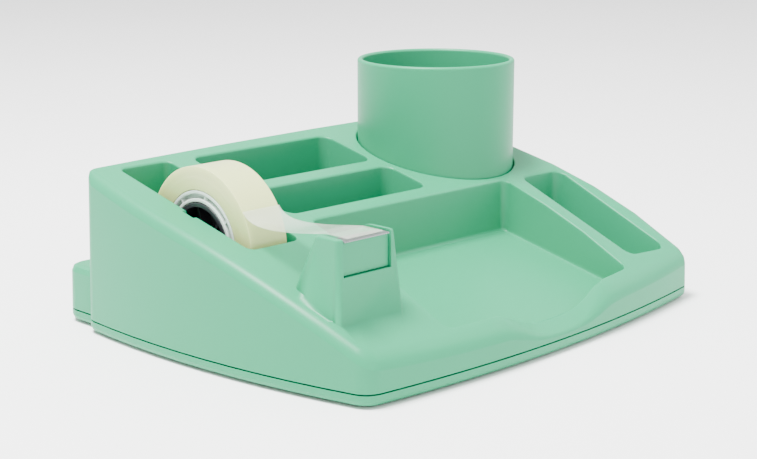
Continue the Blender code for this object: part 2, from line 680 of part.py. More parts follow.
def make_base_tray(plastic):
    low, high = FOOT_HEIGHT, SEAM_HEIGHT - SEAM_GAP
    corner = BASE_EDGE_RADIUS * (1 - math.sqrt(0.5))
    levels = [(-BASE_EDGE_RADIUS, low), (-corner, low + corner), (0, low + BASE_EDGE_RADIUS), (0, high)]
    tray = stack("base_tray", body_outline(), levels)
    combine(tray, stack("base_ledge", ledge_outline(), levels), "UNION")

    tongue_top = SEAM_HEIGHT + TONGUE_HEIGHT
    outer = -WALL - GAP
    inner = outer - TONGUE_WALL
    tongue = stack("tongue", body_outline(), [(outer, low + 1 * MM), (outer, tongue_top)])
    ledge_tongue = stack("ledge_tongue", ledge_outline(), [(outer, low + 1 * MM), (outer, tongue_top)])
    combine(tongue, ledge_tongue, "UNION")
    half = SCOOP_WIDTH / 2
    low_corner = (SCOOP_X - half, BODY_FRONT_Y - 1 * MM, low + 1 * MM)
    notch = box("tongue_notch", low_corner, (SCOOP_X + half, TONGUE_NOTCH_Y, tongue_top + 1 * MM))
    combine(tongue, notch, "DIFFERENCE")
    combine(tray, tongue, "UNION")
    hollow = stack("base_hollow", body_outline(), [(inner, low + BASE_FLOOR), (inner, 40 * MM)])
    ledge_hollow = stack("ledge_hollow", ledge_outline(), [(inner, low + BASE_FLOOR), (inner, 41 * MM)])
    combine(hollow, ledge_hollow, "UNION")

    boss_top = SEAM_HEIGHT - 2 * GAP
    kept = [
        drum("base_boss", SCREW_HEAD_RADIUS + 2 * MM, 0, boss_top, at, steps=20) for at in CASE_SCREWS
    ]
    post_top = low + BASE_FLOOR + GAP + BALLAST_PLATES * (BALLAST_THICKNESS + GAP)
    for at in ballast_post_places():
        kept.append(drum("ballast_post", BALLAST_POST_RADIUS, 0, post_top, at, steps=20))
    combine(hollow, joined("base_bosses", kept), "DIFFERENCE")
    combine(tray, hollow, "DIFFERENCE")

    cutters = []
    head_top = FOOT_HEIGHT + 2 * GAP + SCREW_HEAD_HEIGHT
    for at in CASE_SCREWS:
        cutters.append(drum("recess", SCREW_HEAD_RADIUS + GAP, -1 * MM, head_top, at, steps=20))
    for at in FEET:
        cutters.append(drum("foot_recess", FOOT_RADIUS + GAP, -1 * MM, FOOT_THICKNESS + GAP, at, steps=24))
    combine(tray, joined("base_recesses", cutters), "DIFFERENCE")
    holes = [drum("hole", PILOT_RADIUS, 0, 20 * MM, at, steps=12) for at in CASE_SCREWS]
    for at in ballast_post_places():
        holes.append(drum("post_hole", PILOT_RADIUS, low + BASE_FLOOR, 30 * MM, at, steps=12))
    combine(tray, joined("base_holes", holes), "DIFFERENCE")
    finish_look(tray, plastic)
    return tray


def ballast_post_places():
    middle = (BALLAST_X[0] + BALLAST_X[1]) / 2
    return [(middle, y) for y in BALLAST_POSTS_Y]


# ---------------------------------------------------------------- pen cup

def turned(name, profile, centre, axis="Z", steps=CIRCLE_STEPS):
    """A turned solid from a closed profile of (radius, height) points, round an axis."""
    mesh = bmesh.new()
    turn = {"Z": Matrix.Identity(4), "X": Matrix.Rotation(math.pi / 2, 4, "Y")}[axis]
    place = Matrix.Translation(centre) @ turn
    rings = []
    for step in range(steps):
        angle = 2 * math.pi * step / steps
        verts = []
        for radius, height in profile:
            at = place @ Vector((radius * math.cos(angle), radius * math.sin(angle), height))
            verts.append(mesh.verts.new(at))
        rings.append(verts)
    for index in range(steps):
        bridge(mesh, rings[index - 1], rings[index])
    bmesh.ops.remove_doubles(mesh, verts=mesh.verts, dist=1e-7)
    return finish(mesh, name)


def cup_profile(radius, wall, floor, height):
    """Half of the cup's section, from the middle of its underside round to the middle of its floor."""
    rim = wall / 2
    corner = 1.5 * MM
    outer = [(1e-9, 0), (radius - corner, 0), (radius - 0.3 * corner, 0.3 * corner), (radius, corner)]
    lip = [(radius, height - rim), (radius - 0.3 * rim, height - 0.3 * rim), (radius - rim, height)]
    inner = [(radius - 1.7 * rim, height - 0.3 * rim), (radius - wall, height - rim)]
    bottom = [(radius - wall, floor + 2 * MM), (radius - wall - 2 * MM, floor), (1e-9, floor)]
    return outer + lip + inner + bottom


def make_pen_cup(plastic):
    foot = SOCKET_FLOOR_Z + GAP
    profile = cup_profile(CUP_RADIUS, CUP_WALL, CUP_FLOOR, CUP_RIM_Z - foot)
    cup = turned("pen_cup", profile, Vector((0, 0, 0)))
    cup.location = (CUP_CENTRE.x, CUP_CENTRE.y, foot)
    finish_look(cup, plastic)
    return cup


# ---------------------------------------------------------------- tape roll and hub

def ring_profile(outer, inner, width):
    return [(outer, -width / 2), (outer, width / 2), (inner, width / 2), (inner, -width / 2)]


def core_profile():
    """Section of the core: two rings with a web between them."""
    half = TAPE_WIDTH / 2
    web = half - CORE_WEB_DEPTH
    outer_wall = CORE_OUTER_RADIUS - CORE_RING_WALL
    inner_wall = CORE_BORE_RADIUS + CORE_RING_WALL
    upper = [(CORE_OUTER_RADIUS, half), (outer_wall, half), (outer_wall, web), (inner_wall, web)]
    upper += [(inner_wall, half), (CORE_BORE_RADIUS, half)]
    return upper + [(radius, -height) for radius, height in reversed(upper)]


def make_roll(parent, tape_film, core_plastic, hub_plastic, axle_steel):
    centre = Vector((0, 0, 0))
    winding = ring_profile(TAPE_ROLL_RADIUS, CORE_OUTER_RADIUS + GAP, TAPE_WIDTH)
    tape = turned("tape_winding", winding, centre, "X", 64)
    finish_look(tape, tape_film)

    core = turned("tape_core", core_profile(), centre, "X")
    inner = CORE_BORE_RADIUS + CORE_RING_WALL / 2
    outer = CORE_OUTER_RADIUS - CORE_RING_WALL / 2
    ribs = spokes("core_ribs", CORE_RIB_COUNT, inner, outer, CORE_RIB, TAPE_WIDTH - 1 * MM)
    combine(core, ribs, "UNION")
    finish_look(core, core_plastic)

    rim_outer = CORE_BORE_RADIUS - GAP
    rim_inner = rim_outer - HUB_RIM_WALL
    hub = turned("tape_hub", ring_profile(rim_outer, rim_inner, TAPE_WIDTH), centre, "X")
    bore = AXLE_RADIUS + RUNNING_GAP
    boss_width = TAPE_WIDTH + 2 * (WELL_SIDE_GAP - 2 * GAP)
    combine(hub, turned("hub_boss", ring_profile(HUB_BOSS_RADIUS, bore, boss_width), centre, "X"), "UNION")
    web = ring_profile(rim_inner + HUB_RIM_WALL / 2, bore + 1 * MM, HUB_WEB)
    combine(hub, turned("hub_web", web, centre, "X"), "UNION")
    rib_outer = rim_inner + HUB_RIM_WALL / 2
    hub_ribs = spokes("hub_ribs", 6, bore + 1.5 * MM, rib_outer, 1.2 * MM, TAPE_WIDTH - 7 * MM)
    combine(hub, hub_ribs, "UNION")
    finish_look(hub, hub_plastic)

    half = (well_x()[1] - well_x()[0]) / 2 + SLOT_DEPTH - GAP
    axle = drum("hub_axle", AXLE_RADIUS, -half, half, (0, 0), "X", 32)
    bevel = axle.modifiers.new("end bevel", "BEVEL")
    bevel.width = 0.4 * MM
    bevel.segments = 1
    bevel.limit_method = "ANGLE"
    bevel.angle_limit = math.radians(60)
    finish_look(axle, axle_steel)

    for piece in (tape, core, hub, axle, ribs, hub_ribs):
        piece.parent = parent
    for name in ("hub_boss", "hub_web"):
        bpy.data.objects[name].parent = parent


def spokes(name, count, inner, outer, thickness, width):
    """Radial ribs round the X axis."""
    pieces = []
    for index in range(count):
        angle = 2 * math.pi * index / count
        rib = box("rib", (-width / 2, inner, -thickness / 2), (width / 2, outer, thickness / 2))
        rib.data.transform(Matrix.Rotation(angle + math.radians(9), 4, "X"))
        pieces.append(rib)
    return joined(name, pieces)


def tail_path():
    """Points (y, z) along the free tape: off the front of the roll, sagging, then over the cutter."""
    off_angle = math.radians(147)
    reach = TAPE_ROLL_RADIUS + GAP + TAIL_THICKNESS / 2
    centre = Vector((ROLL_AXIS_Y, ROLL_AXIS_Z))
    radial = Vector((math.cos(off_angle), math.sin(off_angle)))
    start = centre + radial * reach
    along = Vector((-radial.y, radial.x))
    rest_z = INSERT_TOP_Z + 2 * GAP + BLADE_THICKNESS + TAIL_THICKNESS
    landing = Vector((HEAD_TOP_Y[1] - 3 * MM, rest_z))
    first = start + along * 9 * MM
    second = landing + Vector((24 * MM, -3.4 * MM))
    points = []
    for step in range(19):
        t = step / 18
        a = start * (1 - t) ** 3 + first * 3 * t * (1 - t) ** 2
        points.append(a + second * 3 * t * t * (1 - t) + landing * t ** 3)
    tip_y = HEAD_TOP_Y[0] + INSERT_RECESS - BLADE_OVERHANG * 0.6
    points.append(Vector((tip_y, rest_z)))
    return points


def make_tail(tape_film):
    points = tail_path()
    mesh = bmesh.new()
    rings = []
    for index, point in enumerate(points):
        ahead = points[min(index + 1, len(points) - 1)] - points[max(index - 1, 0)]
        normal = Vector((ahead.y, -ahead.x)).normalized() * TAIL_THICKNESS / 2
        verts = []
        for x, sign in ((-1, 1), (1, 1), (1, -1), (-1, -1)):
            at = point + normal * sign
            verts.append(mesh.verts.new((TAPE_CENTRE_X + x * TAPE_WIDTH / 2, at.x, at.y)))
        rings.append(verts)
    for before, after in zip(rings, rings[1:]):
        bridge(mesh, before, after)
    mesh.faces.new(rings[0])
    mesh.faces.new(rings[-1])
    tail = finish(mesh, "tape_tail")
    finish_look(tail, tape_film)
    return tail


# ---------------------------------------------------------------- cutter

def make_cutter(plastic, steel):
    left, right = window_x()
    low = (left + GAP, HEAD_TOP_Y[0] + INSERT_RECESS, WINDOW_SILL_Z + GAP)
    back_lean = (HEAD_ROOT_Y[1] - HEAD_TOP_Y[1]) / (HEAD_TOP_Z - HEAD_ROOT_Z)
    back_low = HEAD_TOP_Y[1] + back_lean * (HEAD_TOP_Z - WINDOW_SILL_Z)
    back_high = HEAD_TOP_Y[1] + back_lean * (HEAD_TOP_Z - INSERT_TOP_Z)
    side = [(low[1], low[2]), (back_low, low[2]), (back_high, INSERT_TOP_Z), (low[1], INSERT_TOP_Z)]
    insert = prism("cutter_insert", side, low[0], right - GAP)
    wall = INSERT_WALL
    inner = [(low[1] + wall, 0), (back_low - wall - 6 * MM, 0)]
    inner += [(back_high - wall - 0.5 * MM, INSERT_TOP_Z - wall), (low[1] + wall, INSERT_TOP_Z - wall)]
    combine(insert, prism("insert_space", inner, low[0] + wall, right - GAP - wall), "DIFFERENCE")
    seat_back = low[1] + BLADE_DEPTH - BLADE_OVERHANG + GAP
    seat_low = (left, low[1] - 1 * MM, INSERT_TOP_Z - GAP)
    combine(insert, box("blade_seat", seat_low, (right, seat_back, INSERT_TOP_Z + 1 * MM)), "DIFFERENCE")
    finish_look(insert, plastic)

    mesh = bmesh.new()
    front = low[1] - BLADE_OVERHANG
    back = front + BLADE_DEPTH
    ends = (left + 2 * GAP, right - 2 * GAP)
    pitch = (ends[1] - ends[0]) / TOOTH_COUNT
    outline = [(ends[1], back), (ends[0], back)]
    for tooth in range(TOOTH_COUNT):
        x = ends[0] + tooth * pitch
        outline.append((x + 0.02 * pitch, front + TOOTH_DEPTH))
        outline.append((x + pitch / 2, front))
    outline.append((ends[1], front + TOOTH_DEPTH))
    rings = []
    for z in (INSERT_TOP_Z, INSERT_TOP_Z + BLADE_THICKNESS):
        rings.append([mesh.verts.new((x, y, z)) for x, y in outline])
    bridge(mesh, rings[0], rings[1])
    mesh.faces.new(rings[0])
    mesh.faces.new(rings[1])
    blade = finish(mesh, "cutter_blade")
    finish_look(blade, steel)


def prism(name, side, low_x, high_x):
    """A solid with the side view given as (y, z) points, between two places along X."""
    mesh = bmesh.new()
    ends = []
    for x in (low_x, high_x):
        ends.append([mesh.verts.new((x, y, z)) for y, z in side])
    bridge(mesh, ends[0], ends[1])
    mesh.faces.new(ends[0])
    mesh.faces.new(ends[1])
    return finish(mesh, name)


# ---------------------------------------------------------------- screws, feet and ballast

def screw_profile(head_radius, head_height, shank_length):
    """Half of a screw's section, head down, from the middle of the head to the middle of the tip."""
    return [
        (1e-9, 0), (head_radius * 0.8, 0), (head_radius, head_height * 0.4), (head_radius, head_height),
        (SCREW_RADIUS, head_height), (SCREW_RADIUS, head_height + shank_length - 1.5 * MM),
        (SCREW_RADIUS * 0.3, head_height + shank_length), (1e-9, head_height + shank_length),
    ]


def make_screws(steel):
    foot = FOOT_HEIGHT + GAP
    for index, at in enumerate(CASE_SCREWS):
        profile = screw_profile(SCREW_HEAD_RADIUS, SCREW_HEAD_HEIGHT, SCREW_LENGTH)
        screw = turned(f"case_screw_{index + 1}", profile, Vector((0, 0, 0)), "Z", 16)
        screw.location = (at[0], at[1], foot)
        finish_look(screw, steel)


def make_feet(rubber):
    for index, at in enumerate(FEET):
        pad = drum(f"foot_pad_{index + 1}", FOOT_RADIUS, 0, FOOT_THICKNESS, (0, 0), steps=24)
        bevel = pad.modifiers.new("edge", "BEVEL")
        bevel.width = 0.4 * MM
        bevel.segments = 1
        bevel.limit_method = "ANGLE"
        bevel.angle_limit = math.radians(60)
        pad.location = (at[0], at[1], 0)
        finish_look(pad, rubber)


def make_ballast(steel, screw_steel):
    floor_top = FOOT_HEIGHT + BASE_FLOOR
    names = ["ballast_plate_lower", "ballast_plate_upper"]
    for index, name in enumerate(names[:BALLAST_PLATES]):
        low_z = floor_top + GAP + index * (BALLAST_THICKNESS + GAP)
        low = (BALLAST_X[0], BALLAST_Y[0], low_z)
        plate = box(name, low, (BALLAST_X[1], BALLAST_Y[1], low_z + BALLAST_THICKNESS))
        holes = []
        for at in ballast_post_places():
            radius = BALLAST_POST_RADIUS + 0.4 * MM
            holes.append(drum("plate_hole", radius, low_z - 1 * MM, low_z + 6 * MM, at))
        combine(plate, joined(f"{name}_holes", holes), "DIFFERENCE")
        finish_look(plate, steel)
    post_top = floor_top + GAP + BALLAST_PLATES * (BALLAST_THICKNESS + GAP)
    for index, at in enumerate(ballast_post_places()):
        profile = screw_profile(BALLAST_SCREW_HEAD_RADIUS, SCREW_HEAD_HEIGHT, post_top - floor_top - 1 * MM)
        screw = turned(f"ballast_screw_{index + 1}", profile, Vector((0, 0, 0)), "Z", 16)
        screw.rotation_euler = (math.pi, 0, 0)
        screw.location = (at[0], at[1], post_top + GAP + SCREW_HEAD_HEIGHT)
        finish_look(screw, screw_steel)


# ---------------------------------------------------------------- the whole object

def main():
    for piece in list(bpy.data.objects):
        bpy.data.objects.remove(piece)
    mint = material("mint_plastic", (0.30, 0.62, 0.47), 0.45)
    film = material("tape_film", (0.90, 0.88, 0.74), 0.2, alpha=0.6)
    core_plastic = material("core_plastic", (0.80, 0.80, 0.76), 0.4)
    hub_plastic = material("hub_plastic", (0.02, 0.02, 0.025), 0.35)
    steel = material("steel", (0.60, 0.61, 0.62), 0.3, 1.0)
    zinc = material("zinc_screw", (0.66, 0.66, 0.64), 0.4, 1.0)
    ballast_steel = material("ballast_steel", (0.25, 0.25, 0.26), 0.6, 0.8)
    rubber = material("foot_rubber", (0.06, 0.06, 0.06), 0.8)

    make_top_shell(mint)
    make_base_tray(mint)
    make_pen_cup(mint)
    axis = bpy.data.objects.new("roll_axis", None)
    bpy.context.scene.collection.objects.link(axis)
    axis.location = (TAPE_CENTRE_X, ROLL_AXIS_Y, ROLL_AXIS_Z)
    make_roll(axis, film, core_plastic, hub_plastic, zinc)
    make_tail(film)
    make_cutter(mint, steel)
    make_screws(zinc)
    make_feet(rubber)
    make_ballast(ballast_steel, zinc)
    bpy.context.view_layer.update()


main()
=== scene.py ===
# %% [markdown]
# # Desk organiser with a tape dispenser
# A low wedge of pastel mint plastic holds a roll of tape in a well on the left, a toothed cutter on a
# small tower in front of it, a pen cup at the back right, a tray for square notes, and three
# compartments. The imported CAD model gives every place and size, and this lesson gives it its looks:
# smooth moulded surfaces, wound film, stamped steel, and a soft white studio.

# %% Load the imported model
import math

import bmesh
import bpy
from mathutils import Matrix, Vector


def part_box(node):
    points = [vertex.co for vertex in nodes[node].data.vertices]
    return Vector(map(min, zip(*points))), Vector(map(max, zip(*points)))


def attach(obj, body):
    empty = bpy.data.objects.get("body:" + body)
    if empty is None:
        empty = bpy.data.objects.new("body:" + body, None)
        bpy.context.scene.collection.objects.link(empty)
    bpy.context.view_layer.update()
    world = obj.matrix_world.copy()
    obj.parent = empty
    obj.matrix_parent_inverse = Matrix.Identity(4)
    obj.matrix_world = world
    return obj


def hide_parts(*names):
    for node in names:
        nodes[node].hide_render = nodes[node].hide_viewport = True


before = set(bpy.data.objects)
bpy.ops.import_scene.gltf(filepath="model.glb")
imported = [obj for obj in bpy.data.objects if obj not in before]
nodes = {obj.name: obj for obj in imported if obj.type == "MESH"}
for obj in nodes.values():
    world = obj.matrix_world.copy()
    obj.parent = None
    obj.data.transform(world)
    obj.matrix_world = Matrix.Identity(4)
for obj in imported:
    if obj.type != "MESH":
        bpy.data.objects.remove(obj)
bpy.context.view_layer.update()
MM = 0.001

# %% [markdown]
# ## Shader maths in plain words
# A finish is easier to read when its sums look like sums. This small class wraps a shader socket, so
# that `a * 0.5 + b` makes the Math nodes for numbers, and `mix` makes the Mix node for colours. Any
# other node is added by its type name, with its settings and inputs by name.

# %% A wrapper for shader sockets
class Socket:
    """A shader socket, or a plain number, that can be added, multiplied and mixed."""

    def __init__(self, finish, value):
        self.finish = finish
        self.value = value

    def maths(self, operation, *others):
        node = self.finish.tree.nodes.new("ShaderNodeMath")
        node.operation = operation
        for slot, other in zip(node.inputs, (self, *others)):
            self.finish.join(other, slot)
        return Socket(self.finish, node.outputs[0])

    def __add__(self, other):
        return self.maths("ADD", other)

    def __mul__(self, other):
        return self.maths("MULTIPLY", other)

    def clamp(self):
        return self.maths("MAXIMUM", 0.0).maths("MINIMUM", 1.0)


class Finish:
    """One material that reads Object coordinates, in metres."""

    def __init__(self, name):
        self.material = bpy.data.materials.new(name)
        self.material.use_nodes = True
        self.tree = self.material.node_tree
        self.shader = self.tree.nodes["Principled BSDF"]
        place = self.tree.nodes.new("ShaderNodeTexCoord")
        self.place = Socket(self, place.outputs["Object"])

    def join(self, value, slot):
        if isinstance(value, Socket):
            value = value.value
        if isinstance(value, bpy.types.NodeSocket):
            self.tree.links.new(value, slot)
        else:
            slot.default_value = value

    def node(self, kind, output=0, settings=None, **inputs):
        """Any node by its type. Inputs are given by name, with _ for a space."""
        node = self.tree.nodes.new("ShaderNode" + kind)
        for name, value in (settings or {}).items():
            setattr(node, name, value)
        for name, value in inputs.items():
            self.join(value, node.inputs[name.replace("_", " ")])
        return Socket(self, node.outputs[output])

    def noise(self, scale, detail=2.0, place=None):
        return self.node("TexNoise", Vector=place or self.place, Scale=scale, Detail=detail)

    def mix(self, amount, first, second):
        """A colour between two others."""
        node = self.tree.nodes.new("ShaderNodeMix")
        node.data_type = "RGBA"
        slots = [slot for slot in node.inputs if slot.enabled]
        for slot, value in zip(slots, (amount, (*first, 1), (*second, 1))):
            self.join(value, slot)
        return Socket(self, [slot for slot in node.outputs if slot.enabled][0])

    def set(self, **values):
        """Constants or sockets on the shader's own inputs."""
        for name, value in values.items():
            self.join(value, self.shader.inputs[name.replace("_", " ")])

    def bump(self, height, distance, strength=1.0):
        made = self.node("Bump", Height=height, Distance=distance, Strength=strength)
        self.set(Normal=made)


print("shader helpers ready")

# %% [markdown]
# ## Pastel moulded plastic
# The body, the cup and the cutter's insert are injection moulded in one pastel mint plastic with a
# fine spark-eroded grain. The grain is finer than half a millimetre, so it only blurs reflections:
# a small bump and an uneven roughness give that. A very slight drift of the pigment over several
# centimetres keeps the broad sides from looking like paint.

# %% The mint plastic
def mint_plastic(name, light, deep):
    finish = Finish(name)
    drift = finish.noise(14.0, 2.0)
    speck = finish.noise(900.0, 2.0)
    finish.set(Base_Color=finish.mix((drift * 0.75 + speck * 0.25).clamp(), deep, light))
    grain = finish.noise(2600.0, 3.0)
    finish.set(Roughness=grain * 0.10 + drift * 0.06 + 0.33)
    finish.bump(grain, 0.00004, 0.5)
    finish.set(IOR=1.46, Specular_IOR_Level=0.3)
    finish.set(Subsurface_Weight=0.12, Subsurface_Radius=(0.6, 1.0, 0.8), Subsurface_Scale=0.004)
    return finish.material


MINT = mint_plastic("mint_plastic", (0.012, 0.265, 0.125), (0.009, 0.238, 0.108))
print("finish:", MINT.name)

# %% [markdown]
# ## Wound film and the roll's core
# A roll of clear film looks yellowish white, because light scatters between hundreds of layers. On its
# flat sides the layers show as fine rings, which depend on the distance from the roll's axis. The axis
# comes from the CAD core, so the rings stay centred. The core is a thin moulded ring in milky plastic.

# %% The film and the core
low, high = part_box("tape_core")
AXIS = (low + high) / 2


def from_axis(finish):
    """Distance from the roll's axis, which lies along X."""
    parts = finish.node("VectorMath", settings={"operation": "SUBTRACT"}, Vector=finish.place)
    finish.join((AXIS.x, AXIS.y, AXIS.z), parts.value.node.inputs[1])
    flat = finish.node("VectorMath", settings={"operation": "MULTIPLY"}, Vector=parts)
    finish.join((0.0, 1.0, 1.0), flat.value.node.inputs[1])
    return finish.node("VectorMath", "Value", {"operation": "LENGTH"}, Vector=flat)


def wound_film():
    finish = Finish("wound_film")
    radius = from_axis(finish)
    line = finish.node("CombineXYZ", X=radius)
    rings = finish.noise(2400.0, 3.0, line)
    bands = finish.noise(260.0, 1.0, line)
    shade = (rings * 0.55 + bands * 0.45).clamp()
    finish.set(Base_Color=finish.mix(shade, (0.42, 0.50, 0.17), (0.66, 0.71, 0.34)))
    finish.set(Roughness=rings * 0.16 + 0.22)
    finish.set(Subsurface_Weight=0.35, Subsurface_Radius=(1.0, 0.95, 0.7), Subsurface_Scale=0.006)
    finish.set(Coat_Weight=0.25, Coat_Roughness=0.12)
    finish.bump(rings, 0.00008, 0.6)
    return finish.material


def clear_film():
    finish = Finish("clear_film")
    streak = finish.noise(90.0, 2.0)
    finish.set(Base_Color=finish.mix(streak, (0.66, 0.74, 0.60), (0.80, 0.84, 0.72)))
    finish.set(Roughness=streak * 0.10 + 0.14)
    finish.set(Alpha=streak * 0.10 + 0.22)
    finish.set(IOR=1.49, Coat_Weight=0.6, Coat_Roughness=0.08)
    return finish.material


def milky_core():
    finish = Finish("milky_core")
    cloud = finish.noise(70.0, 3.0)
    finish.set(Base_Color=finish.mix(cloud, (0.52, 0.62, 0.56), (0.70, 0.78, 0.72)))
    finish.set(Roughness=cloud * 0.12 + 0.26)
    finish.set(Subsurface_Weight=0.3, Subsurface_Radius=(1.0, 1.0, 0.9), Subsurface_Scale=0.003)
    return finish.material


FILM, CLEAR, CORE = wound_film(), clear_film(), milky_core()
print("roll axis at", [round(value / MM, 1) for value in AXIS], "mm")

# %% [markdown]
# ## Hub, steel and rubber
# The hub is black polished plastic. The blade, the axle, the screws and the ballast are steel, each
# with its own surface: stamped strip has fine lines along its length, zinc plating is cloudy, and the
# ballast is raw plate with a dark mill scale. The foot pads are matt rubber with a fine tooth.

# %% The other finishes
def black_hub():
    finish = Finish("black_hub")
    wear = finish.noise(160.0, 3.0)
    finish.set(Base_Color=finish.mix(wear, (0.010, 0.010, 0.013), (0.030, 0.030, 0.036)))
    finish.set(Roughness=wear * 0.15 + 0.22)
    return finish.material


def steel(name, dark, light, along, rough, scale=900.0):
    """Steel with lines drawn out along one axis, or clouds where along is (1, 1, 1)."""
    finish = Finish(name)
    drawn = finish.node("Mapping", Vector=finish.place, Scale=along)
    lines = finish.noise(scale, 3.0, drawn)
    clouds = finish.noise(120.0, 2.0)
    finish.set(Base_Color=finish.mix((lines * 0.6 + clouds * 0.4).clamp(), dark, light))
    finish.set(Metallic=1.0)
    finish.set(Roughness=lines * 0.2 + rough)
    finish.bump(lines, 0.00003, 0.5)
    return finish.material


def foot_rubber():
    finish = Finish("foot_rubber")
    tooth = finish.noise(1500.0, 2.0)
    finish.set(Base_Color=finish.mix(tooth, (0.030, 0.031, 0.032), (0.065, 0.066, 0.068)))
    finish.set(Roughness=tooth * 0.15 + 0.72)
    finish.bump(tooth, 0.0001, 0.6)
    return finish.material


HUB = black_hub()
BLADE = steel("blade_steel", (0.20, 0.21, 0.22), (0.42, 0.43, 0.44), (0.08, 1.0, 1.0), 0.30)
ZINC = steel("zinc_plate", (0.50, 0.51, 0.50), (0.72, 0.73, 0.71), (1.0, 1.0, 1.0), 0.26, 400.0)
PLATE = steel("raw_plate", (0.06, 0.06, 0.065), (0.16, 0.16, 0.17), (0.3, 1.0, 1.0), 0.48, 300.0)
RUBBER = foot_rubber()
print("finishes:", len(bpy.data.materials))

# %% [markdown]
# ## Smooth skins over the CAD solids
# The CAD solids are closed triangle meshes. Their shapes are right, but each triangle stands alone, so
# they look faceted. A skin is a copy whose loose corners are merged, with soft shading across gentle
# angles, hard creases kept, and normals weighted by face size, so that broad walls stay flat and
# fillets catch a clean highlight. A finished piece stays at the origin and rides on its CAD body.

# %% Helpers that finish a piece
def settle(piece, body, slot, material, *replaced):
    """Rides the piece on its body, gives it its material and hides the CAD nodes it stands for."""
    piece.data.materials.clear()
    piece.data.materials.append(material)
    piece.data.polygons.foreach_set("material_index", [0] * len(piece.data.polygons))
    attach(piece, body)
    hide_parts(*replaced)
    print(f"{piece.name}: {len(piece.data.polygons)} faces on {body}")


def new_piece(name, mesh):
    """A bmesh as an object at the origin, with its faces turned outwards."""
    bmesh.ops.recalc_face_normals(mesh, faces=mesh.faces)
    data = bpy.data.meshes.new(name)
    mesh.to_mesh(data)
    mesh.free()
    piece = bpy.data.objects.new(name, data)
    bpy.context.scene.collection.objects.link(piece)
    return piece


def bake(piece):
    """Turns a piece and its modifiers into a plain mesh."""
    bpy.context.view_layer.update()
    graph = bpy.context.evaluated_depsgraph_get()
    made = bpy.data.meshes.new_from_object(piece.evaluated_get(graph), depsgraph=graph)
    piece.modifiers.clear()
    piece.data = made
    return piece


def soft_shading(piece, angle=32):
    """Smooth shading that keeps creases sharper than the angle."""
    piece.data.shade_smooth()
    piece.data.set_sharp_from_angle(angle=math.radians(angle))
    weighted = piece.modifiers.new("weighted normals", "WEIGHTED_NORMAL")
    weighted.keep_sharp = True
    weighted.weight = 60
    return bake(piece)


def skin(name, node, angle=32, edge=0.0):
    """A merged copy of a CAD solid, with its hard edges rounded by edge if that is given."""
    mesh = bmesh.new()
    mesh.from_mesh(nodes[node].data)
    bmesh.ops.remove_doubles(mesh, verts=mesh.verts, dist=0.001 * MM)
    bmesh.ops.dissolve_limit(
        mesh, angle_limit=math.radians(0.4), verts=mesh.verts, edges=mesh.edges
    )
    piece = new_piece(name, mesh)
    if edge:
        round_off = piece.modifiers.new("edges", "BEVEL")
        round_off.width = edge
        round_off.segments = 2
        round_off.limit_method = "ANGLE"
        round_off.angle_limit = math.radians(40)
    return soft_shading(piece, angle)


print("piece helpers ready")

# %% [markdown]
# ## The body and its base
# The body is one thin moulded shell, and a shallow tray closes it from below with a dark seam between
# them. Both come straight from the CAD, because every other piece fits to them.

# %% Body shell, base tray, insert and ballast
settle(skin("body_skin", "top_shell"), "body", "mint_plastic", MINT, "top_shell")
settle(skin("base_skin", "base_tray"), "body", "mint_plastic", MINT, "base_tray")
insert = skin("insert_skin", "cutter_insert", edge=0.35 * MM)
settle(insert, "body", "mint_plastic", MINT, "cutter_insert")
for place in ("lower", "upper"):
    plate = skin(f"ballast_skin_{place}", f"ballast_plate_{place}")
    settle(plate, "body", "ballast_steel", PLATE, f"ballast_plate_{place}")

# %% [markdown]
# ## Turned pieces
# The cup, the roll, its core and its hub are round, so each is drawn as half a section, a closed loop
# of radius and height, and swept round its axis. Small radii at the rims are drawn in the section,
# because they catch the light that tells the eye how thick a wall is.

# %% A lathe
def turned(name, profile, centre, along_x=False, steps=144):
    """A solid from a closed section of (radius, height) points, round Z or round X."""
    turn = Matrix.Rotation(math.pi / 2, 4, "Y") if along_x else Matrix.Identity(4)
    place = Matrix.Translation(centre) @ turn
    mesh = bmesh.new()
    columns = []
    for step in range(steps):
        angle = 2 * math.pi * step / steps
        across = Vector((math.cos(angle), math.sin(angle), 0))
        column = [mesh.verts.new(place @ (across * out + Vector((0, 0, up)))) for out, up in profile]
        columns.append(column)
    for index in range(steps):
        before, after = columns[index - 1], columns[index]
        for row in range(len(profile)):
            mesh.faces.new((before[row - 1], after[row - 1], after[row], before[row]))
    bmesh.ops.remove_doubles(mesh, verts=mesh.verts, dist=0.0005 * MM)
    return new_piece(name, mesh)


def corner(centre, radius, start, end, steps=6):
    """Points on a rounded corner of a section, from one angle to another in degrees."""
    points = []
    for step in range(steps + 1):
        angle = math.radians(start + (end - start) * step / steps)
        points.append((centre[0] + radius * math.cos(angle), centre[1] + radius * math.sin(angle)))
    return points


# %% The pen cup
CUP_WALL = 2.5 * MM
CUP_FLOOR = 3.0 * MM
low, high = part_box("pen_cup")
radius, height = (high.x - low.x) / 2, high.z - low.z
rim = CUP_WALL / 2
section = [(0.0, 0.0)] + corner((radius - 1.5 * MM, 1.5 * MM), 1.5 * MM, -90, 0)
section += corner((radius - rim, height - rim), rim, 0, 180, 12)
section += corner((radius - CUP_WALL - 2 * MM, CUP_FLOOR + 2 * MM), 2 * MM, 0, -90)
section += [(0.0, CUP_FLOOR)]
middle = Vector(((low.x + high.x) / 2, (low.y + high.y) / 2, low.z))
cup = soft_shading(turned("cup_skin", section, middle), 50)
settle(cup, "pen_cup", "mint_plastic", MINT, "pen_cup")
print("cup", round(radius * 2 / MM, 1), "mm across,", round(height / MM, 1), "mm high")

# %% [markdown]
# ## The roll
# The winding is a plain ring of film, but its layers never end exactly flush: a few stand out by a
# twentieth of a millimetre, which breaks up the flat side. The core is two thin rings, a web between
# them and ribs.

